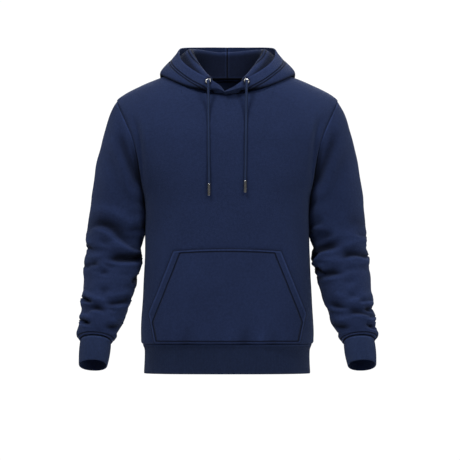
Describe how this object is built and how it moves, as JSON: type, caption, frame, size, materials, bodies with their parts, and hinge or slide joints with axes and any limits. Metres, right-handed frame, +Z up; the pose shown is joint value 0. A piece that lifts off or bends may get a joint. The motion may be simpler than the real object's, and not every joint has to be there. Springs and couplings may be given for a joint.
{
  "type": "pullover hoodie",
  "caption": "Long-sleeved pullover with a let-down hood, drawcord through metal eyelets, kangaroo pocket, rib cuffs and rib hem band, in the form it takes when worn.",
  "frame": {"origin": "middle of the neck opening, level with the highest points of the shoulder seams, where the wearer's neck and shoulders hold the garment", "axes": "+Z up the body towards the head, -Y towards the front, +X towards the wearer's left"},
  "size_m": [0.6866, 0.3115, 0.753],
  "materials": {
    "fleece": "matte brushed-back fleece in navy, fine knit face",
    "rib": "matte fine rib in navy",
    "cord": "braided cord in navy, slightly lighter than the fleece",
    "metal": "polished nickel plate"
  },
  "bodies": {
    "root": {"front_panel": "fleece", "back_panel": "fleece", "sleeve_left": "fleece", "sleeve_right": "fleece", "hood_left": "fleece", "hood_right": "fleece", "pocket": "fleece", "cuff_left": "rib", "cuff_right": "rib", "hem_rib": "rib", "drawcord_left": "cord", "drawcord_right": "cord", "eyelet_left": "metal", "eyelet_right": "metal", "aglet_left": "metal", "aglet_right": "metal"}
  },
  "joints": []
}
